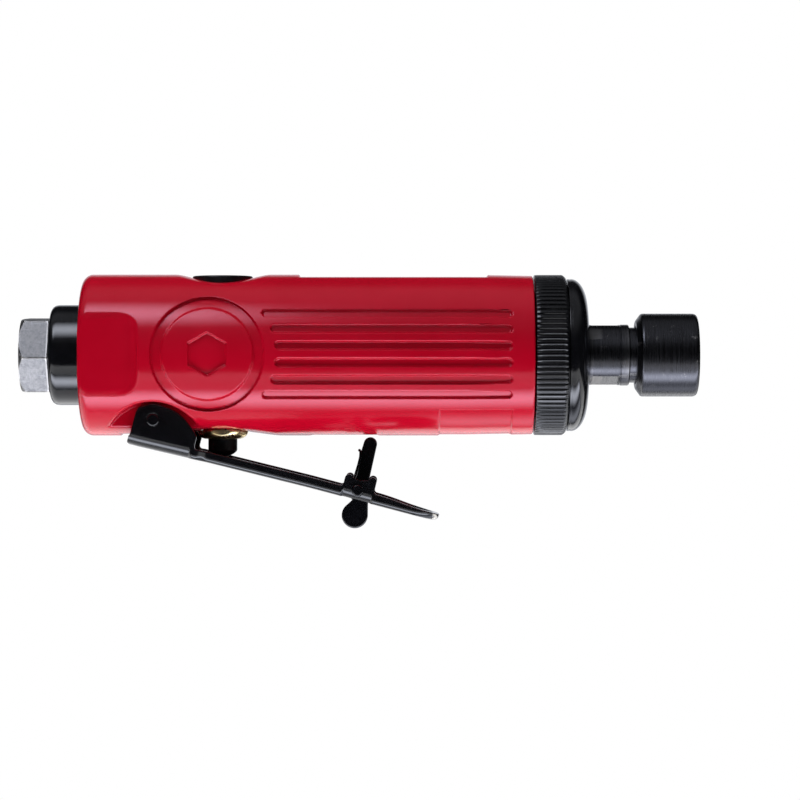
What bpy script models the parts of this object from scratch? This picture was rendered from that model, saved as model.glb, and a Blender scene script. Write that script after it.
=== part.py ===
"""Air die grinder with a safety throttle lever, as separate parts.

Lengths here are millimetres and the meshes are in metres. The tool's axis is X, the collet
points along +X, up is +Z, and the origin is the seat that the shank of a burr stops on.
"""

import math

import bmesh
import bpy
from mathutils import Vector

MM = 0.001
GAP = 0.3

HOUSING_REAR = -125.9
HOUSING_FRONT = -16.1
HOUSING_RADIUS = 19.7
REAR_ROUNDING = 2.5
MOTOR_BORE_RADIUS = 15.6
MOTOR_BORE_REAR = -76.5
INLET_THREAD_RADIUS = 7.6
INLET_THREAD_END = -108.0
PASSAGE_RADIUS = 4.5
RECESS_RADIUS = 12.55
RECESS_DEPTH = 3.2
SIDE_FLAT_HALF = 17.24
SIDE_FLAT_END = -111.1
TOP_FLAT_HEIGHT = 19.0
TOP_FLAT_ENDS = (-73.0, -27.2)

HEX_ACROSS_FLATS = 17.46
HEX_TURN = 5
HEX_REAR = -141.0
COLLAR_REAR = -133.7
COLLAR_RADIUS = 12.25

EMBLEM_X = -94.6
EMBLEM_RING = (11.0, 13.6)
EMBLEM_DEPTH = 0.6
GROOVE_FRONT = -21.65
GROOVE_ANGLES = (-30, -18, -6, 6, 18, 30)
GROOVE_WIDTH = 1.9
GROOVE_DEPTH = 0.7
GROOVE_START_RADIUS = 16.4

VALVE_X = -91.9
VALVE_BORE_RADIUS = 5.2
REGULATOR_BORE_RADIUS = 7.2
SPRING_TOP = 5.95

LEVER_PIVOT = (-108.2, 0.0, -15.8)
ARCH_CENTRE = (-108.05, 0.0, -24.0)
ARCH_RADIUS = 12.6
LEVER_TILT = math.radians(14.8)
LEVER_LENGTH = 72.9
PLATE_TOP = -4.8
PLATE_BOTTOM = -6.3
FLANGE_INNER = 9.3
FLANGE_OUTER = 10.8
LUG_HALF = 8.9
LOCK_ALONG = 52.2
LOCK_HEIGHT = -3.87
LOCK_HALF = 2.0

END_PLATE_RADIUS = 15.3
CYLINDER_ENDS = (-64.3, -32.5)
CYLINDER_BORE = 12.5
CYLINDER_OFFSET = 1.2
ROTOR_ENDS = (-63.9, -32.9)
ROTOR_RADIUS = 11.0
BLADE_THICKNESS = 1.5
FRONT_BEARING = {"rear": -28.2, "width": 8.0, "outer": 13.0, "shaft": 5.0, "pitch": 9.2,
                 "ball": 2.2, "land": 1.5, "count": 8}
REAR_BEARING = {"rear": -74.5, "width": 6.0, "outer": 9.5, "shaft": 3.0, "pitch": 6.4,
                "ball": 1.6, "land": 1.0, "count": 7}

AXIS_AND_SIDE = {
    "X": (Vector((1, 0, 0)), Vector((0, 0, 1))),
    "Y": (Vector((0, 1, 0)), Vector((0, 0, 1))),
    "Z": (Vector((0, 0, 1)), Vector((1, 0, 0))),
}


# Materials

def make_material(name, colour, roughness, metallic):
    made = bpy.data.materials.new(name)
    made.use_nodes = True
    shader = made.node_tree.nodes["Principled BSDF"]
    shader.inputs["Base Color"].default_value = (*colour, 1)
    shader.inputs["Roughness"].default_value = roughness
    shader.inputs["Metallic"].default_value = metallic
    made.diffuse_color = (*colour, 1)
    return made


def make_materials():
    looks = {
        "red_paint": ((0.36, 0.004, 0.016), 0.3, 0.0),
        "black_oxide": ((0.02, 0.02, 0.022), 0.3, 1.0),
        "black_paint": ((0.008, 0.008, 0.009), 0.3, 0.0),
        "black_plastic": ((0.01, 0.01, 0.01), 0.45, 0.0),
        "zinc": ((0.45, 0.45, 0.44), 0.45, 1.0),
        "steel": ((0.6, 0.6, 0.6), 0.25, 1.0),
        "brass": ((0.75, 0.5, 0.15), 0.3, 1.0),
        "rubber": ((0.01, 0.01, 0.01), 0.7, 0.0),
        "felt": ((0.5, 0.48, 0.42), 0.95, 0.0),
        "composite": ((0.12, 0.05, 0.025), 0.6, 0.0),
        "cage_brass": ((0.6, 0.42, 0.16), 0.4, 1.0),
    }
    return {name: make_material(name, *look) for name, look in looks.items()}


# Building tools

def arc(centre, radius, start, end, steps):
    """Points along an arc from one angle to another, in degrees."""
    turns = [math.radians(start + (end - start) * i / steps) for i in range(steps + 1)]
    return [(centre[0] + radius * math.cos(t), centre[1] + radius * math.sin(t)) for t in turns]


def place(name, mesh, look, at):
    piece = bpy.data.objects.new(name, mesh)
    piece.location = Vector(at) * MM
    if look:
        mesh.materials.append(look)
    bpy.context.collection.objects.link(piece)
    return piece


def finish_mesh(name, bm, look=None, at=(0, 0, 0)):
    """Turns a mesh in millimetres into an object in metres with its origin at a point."""
    bmesh.ops.remove_doubles(bm, verts=bm.verts, dist=0.001)
    bmesh.ops.recalc_face_normals(bm, faces=bm.faces)
    bmesh.ops.scale(bm, vec=(MM, MM, MM), verts=bm.verts)
    mesh = bpy.data.meshes.new(name)
    bm.to_mesh(mesh)
    bm.free()
    mesh.shade_smooth()
    mesh.set_sharp_from_angle(angle=math.radians(30))
    return place(name, mesh, look, at)


def turned(name, profile, look=None, segments=32, axis="X", at=(0, 0, 0)):
    """A turned solid. Its profile is (along, radius) points, a loop unless it ends on the axis."""
    along, side = AXIS_AND_SIDE[axis]
    bm = bmesh.new()
    points = [bm.verts.new(along * x + side * r) for x, r in profile]
    edges = [bm.edges.new(pair) for pair in zip(points, points[1:])]
    if profile[0][1] > 0:
        edges.append(bm.edges.new((points[-1], points[0])))
    bmesh.ops.spin(bm, geom=points + edges, cent=(0, 0, 0), axis=along,
                   angle=math.tau, steps=segments, use_merge=True)
    return finish_mesh(name, bm, look, at)


def prism(name, outline, low, high, look=None, axis="Y", at=(0, 0, 0)):
    """An outline across an axis, pushed along it from one height to another."""
    order = {"X": (2, 0, 1), "Y": (0, 2, 1), "Z": (0, 1, 2)}[axis]
    bm = bmesh.new()
    rings = []
    for height in (low, high):
        corners = [(a, b, height) for a, b in outline]
        rings.append([bm.verts.new([c[k] for k in order]) for c in corners])
        bm.faces.new(rings[-1])
    for i in range(len(outline)):
        j = (i + 1) % len(outline)
        bm.faces.new((rings[0][i], rings[0][j], rings[1][j], rings[1][i]))
    return finish_mesh(name, bm, look, at)


def rod(name, radius, low, high, look=None, axis="X", at=(0, 0, 0), segments=24):
    profile = [(low, 0), (low, radius), (high, radius), (high, 0)]
    return turned(name, profile, look, segments, axis, at)


def block(name, low, high, look=None, at=(0, 0, 0)):
    outline = [(low[0], low[2]), (high[0], low[2]), (high[0], high[2]), (low[0], high[2])]
    return prism(name, outline, low[1], high[1], look, "Y", at)


def hexagon(across_flats, first_corner):
    corner = across_flats / math.sqrt(3)
    return arc((0, 0), corner, first_corner, first_corner + 300, 5)


def combine(target, tool, operation="DIFFERENCE"):
    """Applies a tool shape to a piece with a Boolean and keeps the tool out of the model."""
    modifier = target.modifiers.new(tool.name, "BOOLEAN")
    modifier.operation = operation
    modifier.object = tool
    tool.hide_render = True
    tool.display_type = "WIRE"


def wire(name, points, radius, look, at=(0, 0, 0)):
    """A round wire through points, with closed ends."""
    curve = bpy.data.curves.new(name, "CURVE")
    curve.dimensions = "3D"
    curve.bevel_depth = radius * MM
    curve.bevel_resolution = 0
    curve.use_fill_caps = True
    spline = curve.splines.new("POLY")
    spline.points.add(len(points) - 1)
    for point, place_at in zip(spline.points, points):
        point.co = (*(Vector(place_at) * MM), 1)
    curve.materials.append(look)
    piece = bpy.data.objects.new(name, curve)
    piece.location = Vector(at) * MM
    bpy.context.collection.objects.link(piece)
    return piece


# Housing

def housing_profile():
    rear_corner = (HOUSING_REAR + REAR_ROUNDING, HOUSING_RADIUS - REAR_ROUNDING)
    recess_end = HOUSING_REAR + RECESS_DEPTH
    return [
        (VALVE_X, 0),
        (VALVE_X, PASSAGE_RADIUS),
        (INLET_THREAD_END, PASSAGE_RADIUS),
        (INLET_THREAD_END, INLET_THREAD_RADIUS),
        (recess_end, INLET_THREAD_RADIUS),
        (recess_end, RECESS_RADIUS),
        (HOUSING_REAR, RECESS_RADIUS),
        *arc(rear_corner, REAR_ROUNDING, 180, 90, 4),
        (-32.0, HOUSING_RADIUS),
        (HOUSING_FRONT - 0.9, 19.4),
        (HOUSING_FRONT, 18.6),
        (HOUSING_FRONT, MOTOR_BORE_RADIUS),
        (MOTOR_BORE_REAR, MOTOR_BORE_RADIUS),
        (MOTOR_BORE_REAR, 0),
    ]


def valve_bore_profile():
    """The upright bore: valve bushing below, regulator above, with their ring grooves."""
    return [
        (-30.0, 0),
        (-30.0, 6.9),
        (-18.1, 6.9),
        (-18.1, VALVE_BORE_RADIUS),
        (-14.5, VALVE_BORE_RADIUS),
        (-14.5, 6.3),
        (-10.6, 6.3),
        (-10.6, VALVE_BORE_RADIUS),
        (-4.6, VALVE_BORE_RADIUS),
        (-4.6, REGULATOR_BORE_RADIUS),
        (8.4, REGULATOR_BORE_RADIUS),
        (8.4, 8.0),
        (10.0, 8.0),
        (10.0, REGULATOR_BORE_RADIUS),
        (16.9, REGULATOR_BORE_RADIUS),
        (16.9, 7.65),
        (30.0, 7.65),
        (30.0, 0),
    ]


def groove_start(angle):
    """The rear end of a grip groove, on a circle around the emblem."""
    height = HOUSING_RADIUS * math.sin(math.radians(angle))
    return EMBLEM_X + math.sqrt(GROOVE_START_RADIUS ** 2 - height ** 2)


def cut_grip_grooves(housing):
    half = GROOVE_WIDTH / 2
    floor = HOUSING_RADIUS - GROOVE_DEPTH
    for side in (-1, 1):
        for angle in GROOVE_ANGLES:
            rear = groove_start(angle) + half
            front = GROOVE_FRONT - half
            outline = arc((front, 0), half, -90, 90, 3) + arc((rear, 0), half, 90, 270, 3)
            groove = prism("groove_cutter", outline, side * floor, side * (HOUSING_RADIUS + 3))
            groove.rotation_euler.x = side * math.radians(angle)
            combine(housing, groove)


def cut_emblem(housing, side):
    """A shallow ring groove and a plain hexagon in place of any badge."""
    inner, outer = EMBLEM_RING
    ring = [(13.0, inner), (13.0, outer), (22.0, outer), (22.0, inner)]
    ring = [(side * along, radius) for along, radius in ring]
    groove = turned("emblem_ring_cutter", ring, None, 32, "Y", (EMBLEM_X, 0, 0))
    badge = prism("badge_cutter", hexagon(9.0, 30), side * 13.0, side * 22.0,
                  at=(EMBLEM_X, 0, 0))
    for cutter in (groove, badge):
        core = rod("emblem_core", HOUSING_RADIUS - EMBLEM_DEPTH, EMBLEM_X - 20, EMBLEM_X + 20,
                   segments=64)
        combine(cutter, core)
        combine(housing, cutter)


def cut_side_flat(housing, side):
    corner, height = 4.7, 9.6
    end = SIDE_FLAT_END - corner
    outline = [(HOUSING_REAR - 2, -height), *arc((end, corner - height), corner, -90, 0, 3),
               *arc((end, height - corner), corner, 0, 90, 3), (HOUSING_REAR - 2, height)]
    combine(housing, prism("side_flat_cutter", outline, side * SIDE_FLAT_HALF, side * 24))


def cut_label_places(housing):
    """The flat on top and the shallow band below, both left plain."""
    rear, front = TOP_FLAT_ENDS
    combine(housing, block("top_flat_cutter", (rear, -9, TOP_FLAT_HEIGHT), (front, 9, 25)))
    band = arc((0, 0), HOUSING_RADIUS - 0.28, -137, -43, 8) + arc((0, 0), 23, -43, -137, 8)
    combine(housing, prism("label_band_cutter", band, -39.0, -21.5, axis="X"))


def cut_lever_seat(housing):
    """Arched pockets beside the pivot lug, the lug's flat foot and the pin hole."""
    pivot_x, _, pivot_z = LEVER_PIVOT
    for side in (-1, 1):
        low, high = sorted((side * LUG_HALF, side * 24))
        combine(housing, rod("arch_cutter", ARCH_RADIUS, low, high, None, "Y", ARCH_CENTRE, 32))
    combine(housing, block("lug_foot_cutter", (-116.5, -9.4, -26), (-99.0, 9.4, -19.25)))
    combine(housing, rod("pivot_hole_cutter", 1.8, -24, 24, None, "Y", (pivot_x, 0, pivot_z), 16))


def cut_air_ways(housing):
    """The air hole from the valve to the motor and two exhaust holes back to the collar."""
    combine(housing, rod("air_hole_cutter", 1.8, VALVE_X, -75, None, "X", (0, 0, -12.6), 12))
    run = MOTOR_BORE_REAR - (HOUSING_REAR + RECESS_DEPTH)
    spread = math.atan2(12.4 - 10.3, run)
    for side in (-1, 1):
        hole = rod("exhaust_cutter", 1.7, -run - 2, 2, None, "X",
                   (MOTOR_BORE_REAR, side * 12.4, 0), 12)
        hole.rotation_euler.z = side * spread
        combine(housing, hole)


def build_housing(looks):
    housing = turned("housing", housing_profile(), looks["red_paint"], 48)
    top_scoop = rod("regulator_scoop_cutter", 21.2, -26, 26, None, "Y", (-91.7, 0, 38.8), 64)
    low_scoop = rod("valve_scoop_cutter", 31.0, -26, 26, None, "Y", (VALVE_X, 0, -49.7), 64)
    combine(housing, top_scoop)
    combine(housing, low_scoop)
    bore = turned("valve_bore_cutter", valve_bore_profile(), None, 20, "Z", (VALVE_X, 0, 0))
    combine(housing, bore)
    for side in (-1, 1):
        cut_side_flat(housing, side)
        cut_emblem(housing, side)
    cut_grip_grooves(housing)
    cut_label_places(housing)
    cut_lever_seat(housing)
    cut_air_ways(housing)
    relief = rod("lock_relief_cutter", 14.05, -2.5, 2.5, None, "Y", (-62.0, 0, -31.25), 48)
    combine(housing, relief)
    return housing


# Air inlet and exhaust

def build_inlet(looks):
    thread = INLET_THREAD_RADIUS - GAP
    profile = [
        (HEX_REAR, 5.75),
        (HEX_REAR, 9.0),
        (HEX_REAR + 0.9, 10.3),
        (COLLAR_REAR - GAP, 10.3),
        (COLLAR_REAR - GAP, thread),
        (-110.0, thread),
        (-110.0, 5.7),
        (-113.6, 5.7),
        (-113.6, PASSAGE_RADIUS),
        (-129.0, PASSAGE_RADIUS),
        (-129.0, 5.35),
    ]
    bushing = turned("inlet_bushing", profile, looks["zinc"], 22)
    hexagonal = prism("inlet_hex_limit", hexagon(HEX_ACROSS_FLATS, HEX_TURN), -150, -100, axis="X")
    combine(bushing, hexagonal, "INTERSECT")
    screen = rod("inlet_screen", 5.4, -113.2, -112.5, looks["steel"], "X", segments=16)
    holes = [(0, 0)] + arc((0, 0), 3.1, 0, 300, 5)
    for y, z in holes:
        combine(screen, rod("screen_hole_cutter", 0.9, -120, -105, None, "X", (0, y, z), 6))
    return bushing, screen


def build_exhaust(looks):
    front = HOUSING_REAR + RECESS_DEPTH - GAP
    profile = [
        (COLLAR_REAR, INLET_THREAD_RADIUS),
        *arc((COLLAR_REAR + 2, COLLAR_RADIUS - 2), 2, 180, 90, 4),
        (front, COLLAR_RADIUS),
        (front, 11.1),
        (-132.2, 11.1),
        (-132.2, INLET_THREAD_RADIUS),
    ]
    deflector = turned("exhaust_deflector", profile, looks["black_paint"], 28)
    for y, z in arc((0, 0), 10.2, 30, 330, 5):
        port = rod("exhaust_port_cutter", 0.8, -140, -131, None, "X", (0, y, z), 7)
        combine(deflector, port)
    felt = [(-131.8, 7.7), (-131.8, 10.8), (-124.2, 10.8), (-124.2, 7.7)]
    turned("muffler_felt", felt, looks["felt"], 20)


# Throttle valve and regulator

def build_valve(looks):
    at = (VALVE_X, 0, 0)
    profile = [
        (-20.5, 3.85),
        (-20.5, 4.15),
        (-20.2, 5.1),
        (-19.7, 5.8),
        (-19.1, 6.2),
        (-18.4, 6.3),
        (-18.4, 4.9),
        (-9.8, 4.9),
        (-9.8, 3.7),
        (-8.6, 3.7),
        (-8.6, 4.9),
        (-8.0, 4.9),
        (-8.0, 2.6),
        (-12.6, 2.6),
        (-12.6, 1.8),
        (-13.8, 1.8),
        (-13.8, 3.85),
    ]
    bushing = turned("valve_bushing", profile, looks["brass"], 16, "Z", at)
    limit = prism("valve_hex_limit", hexagon(11.7, 0), -30, 0, axis="Z", at=at)
    combine(bushing, limit, "INTERSECT")
    for axis in "XY":
        combine(bushing, rod("bushing_port_cutter", 0.7, -8, 8, None, axis,
                             (VALVE_X, 0, -11.4), 6))
    ring = arc((-9.2, 4.43), 0.45, 0, 300, 5)
    turned("valve_bushing_o_ring", ring, looks["rubber"], 16, "Z", at)

    dome_top, dome_radius = -23.35, 4.74
    dome_centre = dome_top + math.sqrt(dome_radius ** 2 - 3.55 ** 2)
    edge = math.degrees(math.asin(3.55 / dome_radius))
    dome = arc((dome_centre, 0), dome_radius, 180, 180 - edge, 4)
    stem = [(dome[0][0], 0), *dome[1:], (-16.6, 3.55), (-16.6, 1.5), (-6.6, 1.5), (-6.6, 3.6),
            (-5.0, 3.6), (-5.0, 1.2), (-3.4, 1.2), (-3.4, 0)]
    turned("valve_stem", stem, looks["black_plastic"], 18, "Z", at)
    seal = [(-7.7, 1.8), (-7.7, 3.5), (-6.9, 3.5), (-6.9, 1.8)]
    turned("valve_seal", seal, looks["rubber"], 16, "Z", at)

    turns, steps, low, high, coil = 5, 12, -4.3, SPRING_TOP - 0.35, 2.4
    helix = []
    for i in range(turns * steps + 1):
        turn = math.tau * i / steps
        height = low + (high - low) * i / (turns * steps)
        helix.append((coil * math.cos(turn), coil * math.sin(turn), height))
    wire("valve_spring", helix, 0.35, looks["steel"], at)


def build_regulator(looks):
    at = (VALVE_X, 0, 0)
    body, floor = REGULATOR_BORE_RADIUS - GAP, -4.2
    profile = [
        (6.3, 0),
        (6.3, 5.2),
        (floor, 5.2),
        (floor, body),
        (8.6, body),
        (8.6, 6.1),
        (9.8, 6.1),
        (9.8, body),
        (11.8, body),
        (11.8, 5.7),
        (13.2, 5.7),
        (13.2, body),
        (17.2, body),
        (17.2, 7.35),
        (18.9, 7.35),
        (19.3, 6.9),
        (19.3, 0),
    ]
    regulator = turned("regulator", profile, looks["black_plastic"], 20, "Z", at)
    combine(regulator, rod("regulator_window_cutter", 4.1, -12, -2, None, "X",
                           (VALVE_X, 0, 0), 10))
    combine(regulator, block("regulator_slot_cutter", (-5.2, -0.7, 18.4), (5.2, 0.7, 22), at=at))
    ring = arc((12.5, 6.47), 0.45, 0, 300, 5)
    turned("regulator_o_ring", ring, looks["rubber"], 16, "Z", at)
    clip = arc((0, 0), 7.65, 15, 345, 14) + arc((0, 0), 6.5, 345, 15, 14)
    prism("regulator_retaining_ring", clip, 8.9, 9.5, looks["steel"], "Z", at)


# Throttle lever and lock-off

def lever_half_width(along):
    """Half the plate's width at a distance from the pivot: wide at the flanges, round at the tip."""
    tip_radius = 7.0
    wide, narrow = FLANGE_OUTER - 0.15, FLANGE_INNER
    if along < 12:
        return wide
    if along < 15:
        return wide + (narrow - wide) * (along - 12) / 3
    past = along - (LEVER_LENGTH - tip_radius)
    if past <= 0:
        return narrow
    share = min(past / tip_radius, 0.995)
    return narrow - tip_radius + tip_radius * math.sqrt(1 - share ** 2)


def share_between(value, start, end):
    """How far a value has gone from one limit to the other, from 0 to 1."""
    return max(0.0, min(1.0, (value - start) / (end - start)))


def plate_drop(along):
    """How far the plate bends down towards its rear end."""
    return 0.4 * share_between(along, 40, 15) + 0.5 * share_between(along, 15, -2)


def rim_rise(along):
    """How far the turned-up rim stands above the plate, between the flanges and the tip."""
    return 0.05 + 1.05 * share_between(along, 9, 13) * share_between(along, 70, 58)


def build_plate(look):
    tip = [LEVER_LENGTH - 7 * (1 - math.sin(math.radians(a))) for a in (0, 25, 45, 60, 75, 90)]
    stations = [-4.6, 0, 5, 9, 13, 15, 40, 58, *tip]
    bm = bmesh.new()
    rings = []
    for along in stations:
        half, drop = lever_half_width(along), plate_drop(along)
        low, high = PLATE_BOTTOM - drop, PLATE_TOP - drop
        inner, top = half - 1.4, high + rim_rise(along)
        corners = [(-half, low), (half, low), (half, top), (inner, top), (inner, high),
                   (-inner, high), (-inner, top), (-half, top)]
        rings.append([bm.verts.new((along, y, z)) for y, z in corners])
    for near, far in zip(rings, rings[1:]):
        for i in range(8):
            j = (i + 1) % 8
            bm.faces.new((near[i], near[j], far[j], far[i]))
    bm.faces.new(rings[0])
    bm.faces.new(rings[-1])
    return finish_mesh("throttle_lever", bm, look, LEVER_PIVOT)


def flange_outline():
    """The side flange, arched above the pivot pin and sloping to the front."""
    return [(-4.5, -6.6), (11.3, -6.1), (11.3, -1.4), (10.6, -0.4), (9.6, 0.5), (7.4, 2.2),
            (5.4, 3.2), (3.2, 3.8), *arc((0, 0), 4.0, 90, 126, 2), (-4.2, 2.1), (-4.5, 0.9)]


def ear_outline():
    """An ear for the lock pin, with two small round lugs on its top edge."""
    along, height = LOCK_ALONG, LOCK_HEIGHT
    return [(along - 3.8, height - 1.7), (along + 4.0, height - 1.7),
            *arc((along + 2.9, height + 3.0), 1.0, 0, 180, 5), (along - 0.2, height + 2.4),
            *arc((along - 2.8, height + 2.3), 1.0, 30, 180, 4)]


def attach(child, parent):
    """Places a shape in the frame of another piece."""
    child.parent = parent
    return child


def build_lever(looks):
    lever = build_plate(looks["black_paint"])
    lever.rotation_euler.y = LEVER_TILT
    for side in (-1, 1):
        flange = prism("flange_shape", flange_outline(), side * FLANGE_INNER, side * FLANGE_OUTER)
        combine(lever, attach(flange, lever), "UNION")
        ear = prism("ear_shape", ear_outline(), side * 7.8, side * (FLANGE_INNER + 0.1))
        combine(lever, attach(ear, lever), "UNION")
    holes = [
        rod("lever_pin_cutter", 1.8, -14, 14, None, "Y", segments=16),
        rod("lock_pin_cutter", 1.3, -12, 12, None, "Y", (LOCK_ALONG, 0, LOCK_HEIGHT), 14),
        block("lock_window_cutter", (LOCK_ALONG - 3.3, -7.3, -9), (LOCK_ALONG + 3.4, 7.3, -3.8)),
        block("lock_slot_cutter", (44.2, -2.3, -10), (62.4, 2.3, 0)),
    ]
    for hole in holes:
        combine(lever, attach(hole, lever))
    return lever


def lock_outline():
    """The lock-off lever around its pin: an arm above and a thumb lobe below."""
    tip, lobe = (2.98, 11.15), (-0.85, -6.3)
    return [
        *arc(tip, 1.63, -15, 165, 6),
        (-1.15, 3.2),
        (-2.2, 0.6),
        (-2.1, -1.4),
        (-1.5, -2.6),
        *arc(lobe, 3.2, 125, 360, 9),
        (2.4, -2.0),
        (2.75, 2.6),
    ]


def lever_vector(along, up):
    """A step in the lever's frame, turned into the tool's frame."""
    cos, sin = math.cos(LEVER_TILT), math.sin(LEVER_TILT)
    return along * cos + up * sin, up * cos - along * sin


def lock_spring_points():
    coil, near, far = 2.0, -2.95, -6.3
    start, end, steps = 180, 1550, 46
    points = [(0.3, 0.8, 9.6), (0.3, -2.6, 9.6), (1.1, -2.65, 8.9), (-0.5, -2.8, 3.6)]
    for i in range(steps + 1):
        turn = math.radians(start + (end - start) * i / steps)
        across = near + (far - near) * i / steps
        points.append((coil * math.cos(turn), across, coil * math.sin(turn)))
    foot = lever_vector(-5.2, PLATE_TOP + 0.65 - LOCK_HEIGHT)
    return points + [(foot[0], far, foot[1])]


def build_lock(lever, looks):
    seat = (LOCK_ALONG, 0, LOCK_HEIGHT)
    lock = prism("lock_lever", lock_outline(), -LOCK_HALF, LOCK_HALF, looks["black_paint"], at=seat)
    combine(lock, attach(rod("lock_hole_cutter", 1.3, -5, 5, None, "Y", segments=14), lock))
    spring = wire("lock_spring", lock_spring_points(), 0.33, looks["steel"], seat)
    for piece in (lock, spring):
        piece.rotation_euler.y = -LEVER_TILT
        attach(piece, lever)
    half = FLANGE_INNER + 0.9
    pin = [(-half, 0), (-half, 1.3), (-half + 0.5, 1.3), (-half + 0.5, 1.0), (half - 0.5, 1.0),
           (half - 0.5, 1.3), (half, 1.3), (half, 0)]
    attach(turned("lock_pin", pin, looks["steel"], 14, "Y", seat), lever)


def build_pivot_pin(looks):
    rod("lever_pivot_pin", 1.5, -11.1, 11.1, looks["steel"], "Y", LEVER_PIVOT, 18)


# Motor

def race_profile(bearing, outward):
    """One bearing ring, with a ball track on the side that faces the balls."""
    pitch, land, track = bearing["pitch"], bearing["land"], bearing["ball"] + GAP
    low, high = bearing["rear"], bearing["rear"] + bearing["width"]
    middle = (low + high) / 2
    lean = math.degrees(math.acos(land / track))
    if outward:
        curve = arc((middle, pitch), track, 90 + lean, 90 - lean, 3)
        back = bearing["outer"]
    else:
        curve = arc((middle, pitch), track, 270 - lean, 270 + lean, 3)
        back = bearing["shaft"] + GAP
    return [(low, back), (low, curve[0][1]), *curve, (high, curve[-1][1]), (high, back)]


def build_ball_cage(name, bearing, look):
    """The balls and the ribbon between them, as one ring whose section swells at each ball."""
    per_ball, around, ribbon = 4, 6, 0.75
    middle = bearing["rear"] + bearing["width"] / 2
    steps = bearing["count"] * per_ball
    bm = bmesh.new()
    rings = []
    for i in range(steps):
        turn = math.tau * i / steps
        away = (i % per_ball) / per_ball
        offset = bearing["pitch"] * math.tau / bearing["count"] * min(away, 1 - away)
        swell = math.sqrt(max(bearing["ball"] ** 2 - offset ** 2, ribbon ** 2))
        ring = []
        for x, out in arc((middle, bearing["pitch"]), swell, 0, 300, around - 1):
            ring.append(bm.verts.new((x, out * math.cos(turn), out * math.sin(turn))))
        rings.append(ring)
    for i in range(steps):
        near, far = rings[i], rings[(i + 1) % steps]
        for k in range(around):
            m = (k + 1) % around
            bm.faces.new((near[k], near[m], far[m], far[k]))
    finish_mesh(name, bm, look)


def build_bearing(place_name, bearing, looks):
    outer = turned(f"{place_name}_bearing_outer_race", race_profile(bearing, True),
                   looks["steel"], 22)
    inner = turned(f"{place_name}_bearing_inner_race", race_profile(bearing, False),
                   looks["steel"], 18)
    build_ball_cage(f"{place_name}_bearing_ball_cage", bearing, looks["cage_brass"])
    return outer, inner


def build_end_plates(looks):
    pocket = FRONT_BEARING["outer"] + GAP
    front = [(-32.2, 7.0), (-32.2, END_PLATE_RADIUS), (-20.0, END_PLATE_RADIUS),
             (-20.0, pocket), (-28.5, pocket), (-28.5, 7.0)]
    turned("front_end_plate", front, looks["steel"], 28)
    pocket = REAR_BEARING["outer"] + GAP
    rear = [(-76.2, pocket), (-76.2, END_PLATE_RADIUS), (-64.6, END_PLATE_RADIUS),
            (-64.6, 5.0), (-68.2, 5.0), (-68.2, pocket)]
    plate = turned("rear_end_plate", rear, looks["steel"], 28)
    for side in (-1, 1):
        low, high = sorted((side * 11.1, side * 17))
        combine(plate, block("exhaust_notch_cutter", (-80, low, -1.8), (-60, high, 1.8)))
    combine(plate, rod("plate_air_cutter", 1.5, -80, -60, None, "X", (0, 0, -12.6), 10))
    combine(plate, dowel_hole())


def dowel_place():
    return (0, -5.8, -12.1)


def dowel_hole():
    return rod("dowel_hole_cutter", 1.2, -71, -59, None, "X", dowel_place(), 10)


def build_cylinder(looks):
    rear, front = CYLINDER_ENDS
    liner = rod("cylinder", END_PLATE_RADIUS, rear, front, looks["steel"], segments=28)
    bore = rod("liner_bore_cutter", CYLINDER_BORE, rear - 2, front + 2, None, "X",
               (0, 0, CYLINDER_OFFSET), 28)
    combine(liner, bore)
    for side in (-1, 1):
        low, high = sorted((side * 13.9, side * 17))
        combine(liner, block("exhaust_flat_cutter", (rear - 2, low, -9), (-44, high, 9)))
    for x in (-56, -52, -48):
        combine(liner, rod("exhaust_slot_cutter", 1.2, -20, 20, None, "Y", (x, 0, -0.4), 10))
    combine(liner, rod("liner_air_cutter", 1.1, rear - 2, -40, None, "X", (0, 0, -13.3), 8))
    combine(liner, dowel_hole())
    rod("cylinder_dowel_pin", 0.9, -70.5, -59.5, looks["steel"], "X", dowel_place(), 12)


def build_rotor(looks):
    rear, front = ROTOR_ENDS
    profile = [(rear, 4.9), (rear, ROTOR_RADIUS), (front, ROTOR_RADIUS), (front, 6.2),
               (-28.6, 6.2), (-28.6, 5.3), (-32.0, 5.3), (-32.0, 4.9)]
    rotor = turned("rotor", profile, looks["steel"], 24)
    slot_half = BLADE_THICKNESS / 2 + GAP
    half = BLADE_THICKNESS / 2
    for i in range(4):
        turn = math.radians(90 * i)
        slot = block("blade_slot_cutter", (rear - 1, -slot_half, 5.95), (front + 0.15, slot_half, 14))
        slot.rotation_euler.x = turn
        combine(rotor, slot)
        outline = [(-half, 6.3), (half, 6.3), *arc((0, 10.3), half, 0, 180, 4)]
        blade = prism(f"rotor_blade_{i + 1}", outline, rear + GAP, front - GAP,
                      looks["composite"], "X")
        blade.rotation_euler.x = turn
        attach(blade, rotor)
    return rotor


def build_wave_washer(look):
    inner, outer, thickness, wave, middle, steps = 10.7, 12.8, 0.4, 0.22, -19.35, 24
    bm = bmesh.new()
    rings = []
    for i in range(steps):
        turn = math.tau * i / steps
        shift = middle + wave * math.cos(3 * turn)
        corners = [(shift - thickness / 2, inner), (shift + thickness / 2, inner),
                   (shift + thickness / 2, outer), (shift - thickness / 2, outer)]
        rings.append([bm.verts.new((x, r * math.cos(turn), r * math.sin(turn)))
                      for x, r in corners])
    for i in range(steps):
        near, far = rings[i], rings[(i + 1) % steps]
        for k in range(4):
            m = (k + 1) % 4
            bm.faces.new((near[k], near[m], far[m], far[k]))
    finish_mesh("wave_washer", bm, look)


# Nose, spindle and collet

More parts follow.
